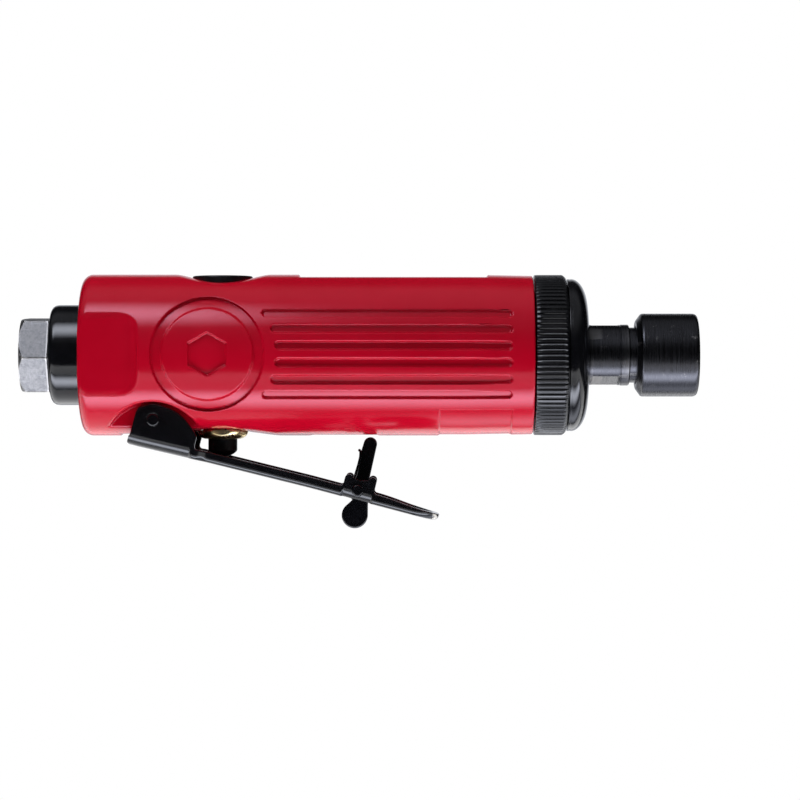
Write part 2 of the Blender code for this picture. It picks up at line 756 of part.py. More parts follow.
def build_nose(looks):
    head_front, head_rear, head_radius = -2.8, -7.7, 18.6
    rounding = [(head_front - 3.9 * (1 - math.sin(t)), head_radius - 6.9 * (1 - math.cos(t)))
                for t in (math.radians(a) for a in (0, 22, 44, 66, 90))]
    profile = [
        (-19.6, 13.35),
        (-19.6, END_PLATE_RADIUS),
        (HOUSING_FRONT + GAP, END_PLATE_RADIUS),
        (HOUSING_FRONT + GAP, 17.05),
        (head_rear, 17.05),
        (head_rear, head_radius),
        *rounding,
        (head_front, 8.0),
        (-8.6, 8.0),
        (-8.6, 10.6),
        (-11.6, 10.6),
        (-11.6, 8.0),
        (-15.6, 8.0),
        (-18.6, 10.2),
        (-18.6, 13.35),
    ]
    turned("nose_cap", profile, looks["black_paint"], 32)
    seal = [(-11.3, 7.35), (-11.3, 10.3), (-8.9, 10.3), (-8.9, 7.35)]
    turned("nose_dust_seal", seal, looks["felt"], 20)


def build_grip_ring(look):
    """The ring with straight knurling, one tooth every few degrees."""
    rear, front, inner, outer, depth, teeth = -15.8, -8.0, 17.35, 19.6, 0.45, 40
    outline = []
    for i in range(teeth):
        for k, reach in ((0, outer), (0.5, outer), (0.62, outer - depth), (0.88, outer - depth)):
            turn = math.tau * (i + k) / teeth
            outline.append((reach * math.cos(turn), reach * math.sin(turn)))
    ring = prism("grip_ring", outline, rear, front, look, "X")
    combine(ring, rod("grip_bore_cutter", inner, rear - 3, front + 3, None, "X", segments=32))
    return ring


def build_spindle(looks):
    profile = [
        (-75.6, 0),
        (-75.6, 3.0),
        (-68.3, 3.0),
        (-68.3, 4.5),
        (-64.2, 4.6),
        (-32.3, 4.6),
        (-31.7, 5.0),
        (-19.9, 5.0),
        (-19.9, 7.0),
        (-3.4, 7.0),
        (-2.4, 7.45),
        (7.4, 7.45),
        (7.4, 6.75),
        (9.3, 6.75),
        (9.3, 6.4),
        (17.4, 6.4),
        (18.0, 5.9),
        (18.0, 5.4),
        (12.5, 4.75),
        (2.5, 4.75),
        (2.5, 3.35),
        (0.9, 3.35),
        (0, 2.4),
        (0, 0),
    ]
    spindle = turned("spindle", profile, looks["black_oxide"], 20)
    for side in (-1, 1):
        low, high = sorted((side * 6.5, side * 12))
        flat = block("wrench_flat_cutter", (-1.6, -9, low), (4.7, 9, high))
        flat.rotation_euler.x = math.radians(-16.5)
        combine(spindle, flat)
    return spindle


def build_collet(looks):
    bore = 3.23
    collet = [
        (4.0, bore),
        (4.0, 4.45),
        (12.2, 4.45),
        (17.9, 5.07),
        (18.4, 5.5),
        (20.4, 5.5),
        (22.9, 4.2),
        (22.9, bore),
    ]
    piece = turned("collet", collet, looks["steel"], 20)
    for turn in (0, 90):
        slot = block("collet_slot_cutter", (8.0, -0.4, -9), (26, 0.4, 9))
        slot.rotation_euler.x = math.radians(turn + 45)
        combine(piece, slot)
    front, rear, radius = 24.2, 9.1, 10.15
    nut = [
        (rear, 7.1),
        (rear, radius - 1.8),
        (rear + 1.3, radius),
        (front - 1.2, radius),
        (front - 0.75, radius - 0.25),
        (front - 0.3, radius - 0.9),
        (front, radius - 2.0),
        (front, 4.75),
        (23.1, 4.75),
        (20.6, 5.9),
        (18.7, 5.9),
        (18.7, 6.7),
        (9.9, 6.7),
        (9.9, 7.1),
    ]
    turned("collet_nut", nut, looks["black_oxide"], 28)
    return piece


def clear_scene():
    for piece in list(bpy.data.objects):
        bpy.data.objects.remove(piece)


def main():
    clear_scene()
    looks = make_materials()
    build_housing(looks)
    build_inlet(looks)
    build_exhaust(looks)
    build_valve(looks)
    build_regulator(looks)
    lever = build_lever(looks)
    build_lock(lever, looks)
    build_pivot_pin(looks)
    build_bearing("front", FRONT_BEARING, looks)
    build_bearing("rear", REAR_BEARING, looks)
    build_end_plates(looks)
    build_cylinder(looks)
    build_rotor(looks)
    build_wave_washer(looks["steel"])
    build_nose(looks)
    build_grip_ring(looks["black_paint"])
    build_spindle(looks)
    build_collet(looks)


main()
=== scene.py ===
import math

import bmesh
import bpy
import numpy as np
from mathutils import Matrix, Vector


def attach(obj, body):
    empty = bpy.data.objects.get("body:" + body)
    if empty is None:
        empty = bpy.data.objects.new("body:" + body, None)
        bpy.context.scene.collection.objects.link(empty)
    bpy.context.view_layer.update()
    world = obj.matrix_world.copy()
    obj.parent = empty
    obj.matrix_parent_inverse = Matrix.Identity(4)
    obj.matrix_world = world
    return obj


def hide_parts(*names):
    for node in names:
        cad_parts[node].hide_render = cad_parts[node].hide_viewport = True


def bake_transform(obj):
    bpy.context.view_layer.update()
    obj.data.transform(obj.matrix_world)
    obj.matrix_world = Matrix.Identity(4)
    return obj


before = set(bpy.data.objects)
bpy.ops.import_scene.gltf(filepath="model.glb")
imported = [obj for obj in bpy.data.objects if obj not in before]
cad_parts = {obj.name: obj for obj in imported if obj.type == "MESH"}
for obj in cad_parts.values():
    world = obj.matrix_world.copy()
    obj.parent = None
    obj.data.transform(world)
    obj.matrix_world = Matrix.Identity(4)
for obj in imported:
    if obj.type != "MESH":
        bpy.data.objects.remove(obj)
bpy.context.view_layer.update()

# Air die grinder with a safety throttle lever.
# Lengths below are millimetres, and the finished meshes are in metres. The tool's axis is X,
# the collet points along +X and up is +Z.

MM = 0.001

HOUSING_REAR = -125.9
HOUSING_FRONT = -16.1
HOUSING_RADIUS = 19.7
GRIP_ANGLES = (-30, -18, -6, 6, 18, 30)
GRIP_HALF_WIDTH = 0.95
GRIP_FRONT = -22.6
GRIP_DEPTH = 0.75
EMBLEM_X = -94.6
EMBLEM_RING = 12.3
EMBLEM_RING_HALF_WIDTH = 1.3
EMBLEM_RING_DEPTH = 0.85
EMBLEM_CLEARANCE = 16.4
BADGE_HALF_WIDTH = 4.5
BADGE_DEPTH = 0.8
BAND_ENDS = (-39.0, -21.5)
BAND_HALF_ANGLE = math.radians(47)
BAND_DEPTH = 0.28
RELIEF_EDGE = 0.26
SIDE_FLAT_HALF = 17.24
SIDE_FLAT_END = -111.4
SIDE_FLAT_CORNER = 5.5
TOP_FLAT_HEIGHT = 19.0
TOP_FLAT_ENDS = (-73.0, -27.2)
INLET_REAR = -141.0
INLET_ACROSS_FLATS = 17.46
COLLAR_REAR = -133.7
COLLAR_RADIUS = 12.25
KNURL_RIDGES = 92
KNURL_DEPTH = 0.32
VALVE_X = -91.9
LEVER_PIVOT = Vector((-108.2, 0.0, -15.8))
LEVER_TILT = math.radians(14.8)
LEVER_LENGTH = 72.9
PLATE_TOP = -4.8
PLATE_BOTTOM = -6.3
LOCK_ALONG = 52.2
LOCK_HEIGHT = -3.87


# Shape fields: each gives the distance to a surface, below zero inside the solid.

def both(a, b, rounding=0.0):
    """What two solids share, with the edge between them rounded."""
    u = np.maximum(a + rounding, 0)
    v = np.maximum(b + rounding, 0)
    return np.minimum(np.maximum(a, b), -rounding) + np.hypot(u, v)


def join(a, b, fillet=0.0):
    """Two solids together, with a fillet in the corner between them."""
    u = np.maximum(fillet - a, 0)
    v = np.maximum(fillet - b, 0)
    return np.maximum(np.minimum(a, b), fillet) - np.hypot(u, v)


def cut(a, tool, rounding=0.0):
    return both(a, -tool, rounding)


def between(value, low, high):
    return np.maximum(low - value, value - high)


def step(distance, softness):
    """One inside an outline and zero outside it, with a soft edge."""
    t = np.clip(0.5 - distance / (2 * softness), 0, 1)
    return t * t * (3 - 2 * t)


def outline_field(outline, a, b):
    """Distance to a closed outline."""
    best = np.full(np.broadcast(a, b).shape, 1e9)
    inside = np.zeros(best.shape, bool)
    for i, (x0, y0) in enumerate(outline):
        x1, y1 = outline[i - 1]
        ex, ey = x1 - x0, y1 - y0
        length = ex * ex + ey * ey
        if length < 1e-12:
            continue
        t = np.clip(((a - x0) * ex + (b - y0) * ey) / length, 0, 1)
        best = np.minimum(best, np.hypot(a - x0 - t * ex, b - y0 - t * ey))
        if y0 != y1:
            crossing = (b < y0) != (b < y1)
            inside ^= crossing & (a < x0 + ex * (b - y0) / ey)
    return np.where(inside, -best, best)


def arc(centre, radius, start, end, steps):
    """Points along an arc from one angle to another, in degrees."""
    turns = [math.radians(start + (end - start) * i / steps) for i in range(steps + 1)]
    return [(centre[0] + radius * math.cos(t), centre[1] + radius * math.sin(t)) for t in turns]


# Mesh tools

def add_piece(name, mesh, body, node, look):
    piece = bpy.data.objects.new(name, mesh)
    bpy.context.collection.objects.link(piece)
    mesh.materials.append(look)
    if body:
        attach(piece, body)
    if node:
        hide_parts(*node.split())
    return piece


def gradient(field, points, small=0.02):
    slopes = []
    for axis in range(3):
        shift = np.zeros(3)
        shift[axis] = small
        ahead = field(*(points + shift).T)
        behind = field(*(points - shift).T)
        slopes.append((ahead - behind) / (2 * small))
    return np.stack(slopes, axis=1)


def solid(name, field, low, high, pitch, to_tool=None):
    """A closed mesh of a shape field, with one point in each grid cell that the surface crosses."""
    low, high = np.array(low, float) - 1.5 * pitch, np.array(high, float) + 1.5 * pitch
    counts = np.ceil((high - low) / pitch).astype(int) + 1
    axes = [low[k] + pitch * np.arange(counts[k]) for k in range(3)]
    inside = np.empty(counts, bool)
    for i in range(0, counts[0], 24):
        slab = axes[0][i:i + 24, None, None]
        inside[i:i + 24] = field(slab, axes[1][None, :, None], axes[2][None, None, :]) < 0
    cells = counts - 1
    corners = np.zeros(cells, int)
    for i in (0, 1):
        for j in (0, 1):
            for k in (0, 1):
                corners += inside[i:i + cells[0], j:j + cells[1], k:k + cells[2]]
    crossed = (corners > 0) & (corners < 8)
    index = np.full(cells, -1)
    index[crossed] = np.arange(crossed.sum())
    points = low + pitch * (np.argwhere(crossed) + 0.5)
    home = points.copy()
    for _ in range(6):
        slope = gradient(field, points)
        size = np.maximum((slope ** 2).sum(axis=1), 0.05)
        points -= (field(*points.T) / size)[:, None] * slope
        points = np.clip(points, home - 0.9 * pitch, home + 0.9 * pitch)
    quads = []
    for axis in range(3):
        j, k = (axis + 1) % 3, (axis + 2) % 3
        first = [slice(None)] * 3
        second = [slice(None)] * 3
        first[axis], second[axis] = slice(None, -1), slice(1, None)
        a, b = inside[tuple(first)], inside[tuple(second)]
        places = np.argwhere(a != b)
        places = places[(places[:, j] > 0) & (places[:, k] > 0)]
        leaving = a[tuple(places.T)]
        ring = []
        for dj, dk in ((1, 1), (0, 1), (0, 0), (1, 0)):
            cell = places.copy()
            cell[:, j] -= dj
            cell[:, k] -= dk
            ring.append(index[tuple(cell.T)])
        ring = np.stack(ring, axis=1)
        ring[~leaving] = ring[~leaving][:, ::-1]
        quads.append(ring)
    quads = np.concatenate(quads)
    normals = gradient(field, points)
    normals /= np.maximum(np.linalg.norm(normals, axis=1), 1e-9)[:, None]
    if to_tool is not None:
        points = points @ np.array(to_tool.to_3x3()).T + np.array(to_tool.translation)
        normals = normals @ np.array(to_tool.to_3x3()).T
    mesh = bpy.data.meshes.new(name)
    mesh.from_pydata((points * MM).tolist(), [], quads.tolist())
    mesh.shade_smooth()
    mesh.normals_split_custom_set_from_vertices(normals.tolist())
    return mesh


def rounded(profile, radius, steps=4, closed=True):
    """A profile with its corners rounded. A point may carry its own radius as a third number."""
    count = len(profile)
    points = []
    for i, corner in enumerate(profile):
        here = Vector(corner[:2])
        wanted = corner[2] if len(corner) > 2 else radius
        if not closed and i in (0, count - 1) or wanted <= 0:
            points.append(tuple(here))
            continue
        before, after = Vector(profile[i - 1][:2]), Vector(profile[(i + 1) % count][:2])
        back, ahead = before - here, after - here
        half = back.angle(ahead) / 2
        reach = wanted / math.tan(half)
        reach = min(reach, 0.45 * back.length, 0.45 * ahead.length)
        start = here + back.normalized() * reach
        end = here + ahead.normalized() * reach
        for k in range(steps + 1):
            t = k / steps
            points.append(tuple((1 - t) ** 2 * start + 2 * t * (1 - t) * here + t ** 2 * end))
    return points


def lathe(name, profile, segments, axis="X", at=(0, 0, 0), shape=None, matrix=None):
    """A turned mesh from (along, radius) points. A shape may change the radius at an angle."""
    closed = profile[0][1] > 0
    points, faces, rings = [], [], []
    for along, radius in profile:
        if radius <= 1e-9:
            rings.append([len(points)] * segments)
            points.append((along, 0.0, 0.0))
            continue
        rings.append(range(len(points), len(points) + segments))
        for i in range(segments):
            turn = math.tau * i / segments
            r = shape(along, radius, turn) if shape else radius
            points.append((along, r * math.cos(turn), r * math.sin(turn)))
    pairs = list(zip(rings, rings[1:]))
    if closed:
        pairs.append((rings[-1], rings[0]))
    for near, far in pairs:
        for i in range(segments):
            j = (i + 1) % segments
            face = [near[i], near[j], far[j], far[i]]
            faces.append([v for n, v in enumerate(face) if v != face[n - 1]])
    order = {"X": (0, 1, 2), "Y": (2, 0, 1), "Z": (1, 2, 0)}[axis]
    places = []
    for p in points:
        place = Vector((p[order[0]], p[order[1]], p[order[2]])) + Vector(at)
        places.append(tuple((matrix @ place if matrix else place) * MM))
    mesh = bpy.data.meshes.new(name)
    mesh.from_pydata(places, [], [f for f in faces if len(f) > 2])
    tidy_mesh(mesh)
    return mesh


def tidy_mesh(mesh):
    bm = bmesh.new()
    bm.from_mesh(mesh)
    bmesh.ops.recalc_face_normals(bm, faces=bm.faces)
    bm.to_mesh(mesh)
    bm.free()
    mesh.shade_smooth()
    mesh.set_sharp_from_angle(angle=math.radians(40))


def weigh_normals(piece):
    """Keeps broad faces flat next to their small rounded edges."""
    modifier = piece.modifiers.new("even_normals", "WEIGHTED_NORMAL")
    modifier.keep_sharp = True
    return piece


# Materials

def eased(tree, value, low, high, to_low=0.0, to_high=1.0):
    """A value that eases from one level to another as its source goes from low to high."""
    made = tree.nodes.new("ShaderNodeMapRange")
    made.interpolation_type = "SMOOTHSTEP"
    for key, number in (("From Min", low), ("From Max", high),
                        ("To Min", to_low), ("To Max", to_high)):
        made.inputs[key].default_value = number
    tree.links.new(value, made.inputs["Value"])
    return made.outputs["Result"]


def combined(tree, operation, *values):
    """Two numbers or sockets put through a Math node."""
    made = tree.nodes.new("ShaderNodeMath")
    made.operation = operation
    for socket, value in zip(made.inputs, values):
        if isinstance(value, (int, float)):
            socket.default_value = value
        else:
            tree.links.new(value, socket)
    return made.outputs["Value"]


class Look:
    """A Principled material with its nodes built step by step."""

    def __init__(self, name, roughness, metallic=0.0, specular=0.5):
        self.material = bpy.data.materials.new(name)
        self.material.use_nodes = True
        self.tree = self.material.node_tree
        self.shader = self.tree.nodes["Principled BSDF"]
        self.shader.inputs["Roughness"].default_value = roughness
        self.shader.inputs["Metallic"].default_value = metallic
        self.shader.inputs["Specular IOR Level"].default_value = specular
        self.height = None
        self.place = self.node("ShaderNodeTexCoord").outputs["Object"]

    def node(self, kind, **settings):
        made = self.tree.nodes.new(kind)
        for name, value in settings.items():
            setattr(made, name, value)
        return made

    def link(self, source, target):
        self.tree.links.new(source, target)

    def stretched(self, x, y, z):
        mapping = self.node("ShaderNodeMapping")
        mapping.inputs["Scale"].default_value = (x, y, z)
        self.link(self.place, mapping.inputs["Vector"])
        return mapping.outputs["Vector"]

    def noise(self, scale, detail=4.0, roughness=0.55, stretch=None, distortion=0.0):
        made = self.node("ShaderNodeTexNoise")
        made.inputs["Scale"].default_value = scale
        made.inputs["Detail"].default_value = detail
        made.inputs["Roughness"].default_value = roughness
        made.inputs["Distortion"].default_value = distortion
        source = self.stretched(*stretch) if stretch else self.place
        self.link(source, made.inputs["Vector"])
        return made.outputs["Fac"]

    def remap(self, value, low, high, to_low, to_high):
        return eased(self.tree, value, low, high, to_low, to_high)

    def maths(self, operation, a, b):
        return combined(self.tree, operation, a, b)

    def mix(self, share, first, second):
        made = self.node("ShaderNodeMix", data_type="RGBA")
        self.link(share, made.inputs["Factor"])
        for key, value in (("A", first), ("B", second)):
            socket = next(s for s in made.inputs if s.name == key and s.type == "RGBA")
            if isinstance(value, tuple):
                socket.default_value = (*value, 1)
            else:
                self.link(value, socket)
        return next(s for s in made.outputs if s.type == "RGBA")

    def edges(self, low=0.52, high=0.58):
        """One on worn outer edges and zero elsewhere."""
        sharp = self.node("ShaderNodeNewGeometry").outputs["Pointiness"]
        return self.remap(sharp, low, high, 0, 1)

    def colour(self, source):
        self.link(source, self.shader.inputs["Base Color"])

    def rough(self, source):
        self.link(source, self.shader.inputs["Roughness"])

    def bump(self, source, distance, strength=1.0):
        made = self.node("ShaderNodeBump")
        made.inputs["Distance"].default_value = distance
        made.inputs["Strength"].default_value = strength
        self.link(source, made.inputs["Height"])
        if self.height is not None:
            self.link(self.height, made.inputs["Normal"])
        self.height = made.outputs["Normal"]
        self.link(self.height, self.shader.inputs["Normal"])


def red_enamel():
    look = Look("red_enamel_paint", 0.2, specular=0.5)
    look.shader.inputs["Specular Tint"].default_value = (1.0, 0.48, 0.60, 1)
    look.shader.inputs["Coat Weight"].default_value = 0.05
    look.shader.inputs["Coat Roughness"].default_value = 0.08
    cloud = look.noise(60, 3)
    look.colour(look.mix(look.remap(cloud, 0.3, 0.7, 0, 1), (0.36, 0.0010, 0.0105),
                         (0.39, 0.0018, 0.0130)))
    look.rough(look.remap(look.noise(900, 3), 0.25, 0.75, 0.145, 0.205))
    look.bump(look.noise(1400, 2), 0.000004, 0.5)
    look.bump(look.noise(220, 2), 0.00003, 0.3)
    return look.material


def black_enamel(name="black_gloss_enamel", low=0.11, high=0.17, grain=0.000003):
    look = Look(name, (low + high) / 2)
    cloud = look.noise(300, 4)
    look.colour(look.mix(look.remap(cloud, 0.3, 0.7, 0, 1), (0.0020, 0.0020, 0.0026),
                         (0.0034, 0.0034, 0.0042)))
    look.rough(look.remap(look.noise(700, 4), 0.25, 0.75, low, high))
    look.bump(look.noise(1600, 2), grain, 0.5)
    return look.material


def lever_finish():
    """Black oxide on pressed steel, worn bright at the lever's tip and thinly along its edges."""
    look = Look("lever_black_finish", 0.35)
    ramp = look.node("ShaderNodeSeparateXYZ")
    look.link(look.place, ramp.inputs["Vector"])
    grain = look.noise(900, 6, 0.7)
    tip = look.remap(ramp.outputs["X"], -0.0414, -0.0402, 0, 1)
    worn = look.remap(look.maths("MULTIPLY", tip, look.maths("ADD", grain, 0.35)), 0.45, 0.75, 0, 1)
    rub = look.maths("MULTIPLY", look.edges(0.57, 0.68), look.remap(grain, 0.5, 0.62, 0, 0.12))
    wear = look.maths("MAXIMUM", worn, rub)
    cloud = look.remap(look.noise(260, 4), 0.3, 0.7, 0, 1)
    black = look.mix(cloud, (0.0020, 0.0020, 0.0025), (0.0042, 0.0042, 0.0050))
    look.colour(look.mix(wear, black, (0.52, 0.50, 0.47)))
    look.link(look.remap(wear, 0.2, 0.8, 0, 1), look.shader.inputs["Metallic"])
    look.rough(look.remap(look.noise(500, 4), 0.25, 0.75, 0.13, 0.21))
    look.bump(look.noise(1500, 3), 0.000003, 0.5)
    return look.material


def black_oxide():
    """Blackened turned steel: fine rings around the axis, with rubbed and scratched spots."""
    look = Look("black_oxide_steel", 0.3, 1.0)
    rings = look.noise(1, 6, 0.6, (5200, 140, 140))
    blotch = look.noise(420, 8, 0.75)
    patch = look.remap(look.noise(110, 2), 0.48, 0.66, 0, 1)
    spots = look.maths("MULTIPLY", look.remap(blotch, 0.58, 0.70, 0, 0.9), patch)
    wear = look.maths("MAXIMUM", spots, look.maths("MULTIPLY", look.edges(0.53, 0.60), 0.35))
    base = look.mix(look.remap(rings, 0.3, 0.7, 0, 1), (0.050, 0.050, 0.055),
                    (0.058, 0.058, 0.064))
    look.colour(look.mix(wear, base, (0.28, 0.27, 0.26)))
    look.rough(look.remap(look.maths("ADD", rings, look.maths("MULTIPLY", wear, 0.4)),
                          0.3, 0.9, 0.24, 0.44))
    look.bump(rings, 0.0000015, 0.5)
    look.bump(blotch, 0.000006, 0.4)
    return look.material


def zinc_plate():
    """Dull plated hexagon stock with fine crossing scratches and a bright rubbed edge."""
    look = Look("dull_zinc_plate", 0.42, 1.0)
    mottle = look.noise(950, 8, 0.75)
    drawn = look.noise(1, 5, 0.7, (2600, 200, 200))
    across = look.noise(1, 5, 0.7, (260, 2400, 2400))
    base = look.mix(look.remap(mottle, 0.3, 0.7, 0, 1), (0.085, 0.085, 0.088), (0.26, 0.255, 0.25))
    lines = look.maths("MAXIMUM", look.remap(drawn, 0.56, 0.70, 0, 0.5),
                       look.remap(across, 0.58, 0.72, 0, 0.5))
    base = look.mix(lines, base, (0.42, 0.42, 0.43))
    look.colour(look.mix(look.edges(0.515, 0.56), base, (0.62, 0.60, 0.57)))
    look.rough(look.remap(mottle, 0.25, 0.75, 0.38, 0.60))
    look.bump(mottle, 0.00002, 0.5)
    look.bump(drawn, 0.00001, 0.4)
    return look.material


def brass():
    look = Look("turned_brass", 0.3, 1.0)
    stain = look.noise(500, 5, 0.65)
    look.colour(look.mix(look.remap(stain, 0.35, 0.7, 0, 1), (1.0, 0.86, 0.52),
                         (0.92, 0.70, 0.32)))
    look.rough(look.remap(stain, 0.25, 0.75, 0.24, 0.36))
    look.bump(look.noise(1, 4, 0.6, (300, 300, 4200)), 0.000004, 0.4)
    return look.material


def plain_metal(name, dark, light, low, high, scale=600):
    """Ground or cast metal with a fine mottle."""
    look = Look(name, (low + high) / 2, 1.0)
    mottle = look.noise(scale, 6, 0.7)
    look.colour(look.mix(look.remap(mottle, 0.3, 0.7, 0, 1), dark, light))
    look.rough(look.remap(look.noise(scale * 1.7, 4), 0.25, 0.75, low, high))
    look.bump(mottle, 0.000004, 0.4)
    return look.material


def plain_matt(name, dark, light, low, high, scale, depth):
    """Rubber, plastic, felt or bonded fibre with its own grain."""
    look = Look(name, (low + high) / 2)
    grain = look.noise(scale, 6, 0.65)
    look.colour(look.mix(look.remap(grain, 0.3, 0.7, 0, 1), dark, light))
    look.rough(look.remap(look.noise(scale * 0.4, 4), 0.25, 0.75, low, high))
    look.bump(grain, depth, 0.6)
    return look.material


LOOKS = {
    "red_enamel": red_enamel(),
    "black_enamel": black_enamel(),
    "ring": black_enamel("black_knurled_finish", 0.17, 0.24, 0.000004),
    "lever": lever_finish(),
    "black_oxide": black_oxide(),
    "zinc": zinc_plate(),
    "brass": brass(),
    "steel": plain_metal("ground_steel", (0.42, 0.42, 0.43), (0.62, 0.62, 0.62), 0.2, 0.34),
    "bearing_steel": plain_metal("bearing_steel", (0.55, 0.55, 0.56), (0.7, 0.7, 0.7), 0.12, 0.24),
    "rubber": plain_matt("nitrile_rubber", (0.006, 0.006, 0.006), (0.02, 0.02, 0.02),
                         0.55, 0.75, 900, 0.00001),
    "black_plastic": plain_matt("moulded_black_plastic", (0.003, 0.003, 0.0035),
                                (0.008, 0.008, 0.009), 0.30, 0.42, 1100, 0.000005),
    "felt": plain_matt("grey_felt", (0.25, 0.24, 0.21), (0.55, 0.53, 0.47), 0.85, 1.0,
                       1600, 0.0002),
    "composite": plain_matt("bonded_fibre", (0.06, 0.025, 0.012), (0.2, 0.1, 0.05),
                            0.5, 0.7, 1200, 0.00003),
}


# Housing

def housing_relief(x, y, z):
    """How much the grip grooves, the emblem and the label band sink below the round body."""
    turn = np.arctan2(z, np.abs(y))
    depth = 0
    for angle in GRIP_ANGLES:
        height = HOUSING_RADIUS * math.sin(math.radians(angle))
        rear = EMBLEM_X + math.sqrt(EMBLEM_CLEARANCE ** 2 - height ** 2) + GRIP_HALF_WIDTH
        along = np.maximum(between(x, rear, GRIP_FRONT), 0)
        beside = HOUSING_RADIUS * (turn - math.radians(angle))
        groove = np.hypot(along, beside) - GRIP_HALF_WIDTH
        depth = np.maximum(depth, GRIP_DEPTH * step(groove, RELIEF_EDGE))
    from_centre = np.hypot(x - EMBLEM_X, z)
    ring = np.abs(from_centre - EMBLEM_RING) - EMBLEM_RING_HALF_WIDTH
    depth = np.maximum(depth, EMBLEM_RING_DEPTH * step(ring, RELIEF_EDGE))
    badge = -1e9
    for k in range(6):
        a = math.radians(60 * k)
        side = (x - EMBLEM_X) * math.cos(a) + z * math.sin(a) - BADGE_HALF_WIDTH
        badge = np.maximum(badge, side)
    depth = np.maximum(depth, BADGE_DEPTH * step(badge, RELIEF_EDGE))
    under = HOUSING_RADIUS * (np.abs(np.arctan2(y, -z)) - BAND_HALF_ANGLE)
    band = np.maximum(between(x, *BAND_ENDS), under)
    return np.maximum(depth, BAND_DEPTH * step(band, 0.22))


def side_flat(x, y, z):
    """What the rear side flats cut away: a slab beyond each flat, with round front corners."""
    across, up = x - SIDE_FLAT_END + SIDE_FLAT_CORNER, np.abs(z) - 5.9
    plan = np.hypot(np.maximum(across, 0), np.maximum(up, 0))
    plan = plan + np.minimum(np.maximum(across, up), 0) - SIDE_FLAT_CORNER
    return both(SIDE_FLAT_HALF - np.abs(y), plan, 2.2)


def valve_bore(x, y, z):
    """The stepped hole that runs up through the housing from the valve to the regulator."""
    out = np.hypot(x - VALVE_X, y)
    field = 1e9
    for radius, low, high in ((6.9, -40, -18.1), (5.2, -18.6, -4.2), (6.3, -14.5, -10.6),
                              (7.2, -4.6, 17.3), (8.0, 8.4, 10.0), (7.65, 16.9, 40)):
        field = np.minimum(field, np.maximum(out - radius, between(z, low, high)))
    return field


def housing_outside(x, y, z):
    """The round body with its relief, the two scoops and the flats."""
    taper = 0.3 * np.clip((x + 32.0) / 15.0, 0, 1)
    body = np.hypot(y, z) - HOUSING_RADIUS + taper + housing_relief(x, y, z)
    body = both(body, HOUSING_REAR - x, 2.5)
    body = both(body, x - HOUSING_FRONT, 0.45)
    body = cut(body, np.hypot(x + 91.7, z - 38.8) - 21.2, 1.2)
    body = cut(body, np.hypot(x - VALVE_X, z + 49.7) - 31.0, 2.5)
    body = cut(body, side_flat(x, y, z), 0.65)
    rear, front = TOP_FLAT_ENDS
    top = both(both(TOP_FLAT_HEIGHT - z, rear - x, 0.4), x - front, 0.4)
    return cut(body, top, 0.35)


def lever_room(body, x, y, z):
    """The housing with the lever's arched pockets, the pivot hole and the lock's slot cut out."""
    pivot_x, _, pivot_z = LEVER_PIVOT
    arch = both(np.hypot(x + 108.05, z + 24.0) - 12.6, 8.9 - np.abs(y), 0.5)
    body = cut(body, arch, 0.55)
    foot = np.maximum(between(x, -116.5, -99.0), np.maximum(np.abs(y) - 9.4, z + 19.25))
    body = cut(body, foot, 0.35)
    relief = both(np.hypot(x + 62.0, z + 31.25) - 14.05, np.abs(y) - 2.5, 0.3)
    body = cut(body, relief, 0.4)
    return cut(body, np.hypot(x - pivot_x, z - pivot_z) - 1.8)


def housing_field(x, y, z):
    """The whole casting: its outside, then the pockets, the bores and the air passages."""
    out = np.hypot(y, z)
    body = lever_room(housing_outside(x, y, z), x, y, z)
    body = cut(body, valve_bore(x, y, z), 0.35)
    body = cut(body, np.maximum(out - 15.6, -76.5 - x), 0.4)
    body = cut(body, np.maximum(out - 12.55, x + 122.7), 0.4)
    body = cut(body, np.maximum(out - 7.6, x + 108.0))
    body = cut(body, np.maximum(out - 4.5, x - VALVE_X))
    body = cut(body, np.maximum(np.hypot(y, z + 12.6) - 1.8, between(x, VALVE_X, -75.0)))
    side = np.abs(y) - 12.4 - (x + 76.5) * 2.1 / 46.2
    return cut(body, np.maximum(np.hypot(side, z) - 1.7, x + 75.0))


def build_housing():
    pitch = 0.34
    low = (HOUSING_REAR, -HOUSING_RADIUS, -HOUSING_RADIUS)
    high = (HOUSING_FRONT, HOUSING_RADIUS, HOUSING_RADIUS)
    mesh = solid("housing_casting", housing_field, low, high, pitch)
    add_piece("housing_casting", mesh, "body", "housing", LOOKS["red_enamel"])


# Air inlet, exhaust collar and nose

def hexagon_limit(across_flats, first_corner, softness):
    """A shape that holds a turned radius inside a hexagon with slightly rounded corners."""
    def limit(_, radius, turn):
        sixth = math.radians(60)
        away = (turn - math.radians(first_corner + 30) + sixth / 2) % sixth - sixth / 2
        wall = across_flats / 2 / math.cos(away)
        gap = radius - wall
        return min(radius, wall) - softness * math.exp(-abs(gap) / softness) * 0.3
    return limit


def spaced(start, end, steps):
    """Points on a straight run, without its first point."""
    return [(start[0] + (end[0] - start[0]) * i / steps, start[1] + (end[1] - start[1]) * i / steps)
            for i in range(1, steps + 1)]


def turned_piece(name, body, node, slot, look, profile, segments=128, **more):
    mesh = lathe(name, profile, segments, **more)
    return weigh_normals(add_piece(name, mesh, body, node, look))


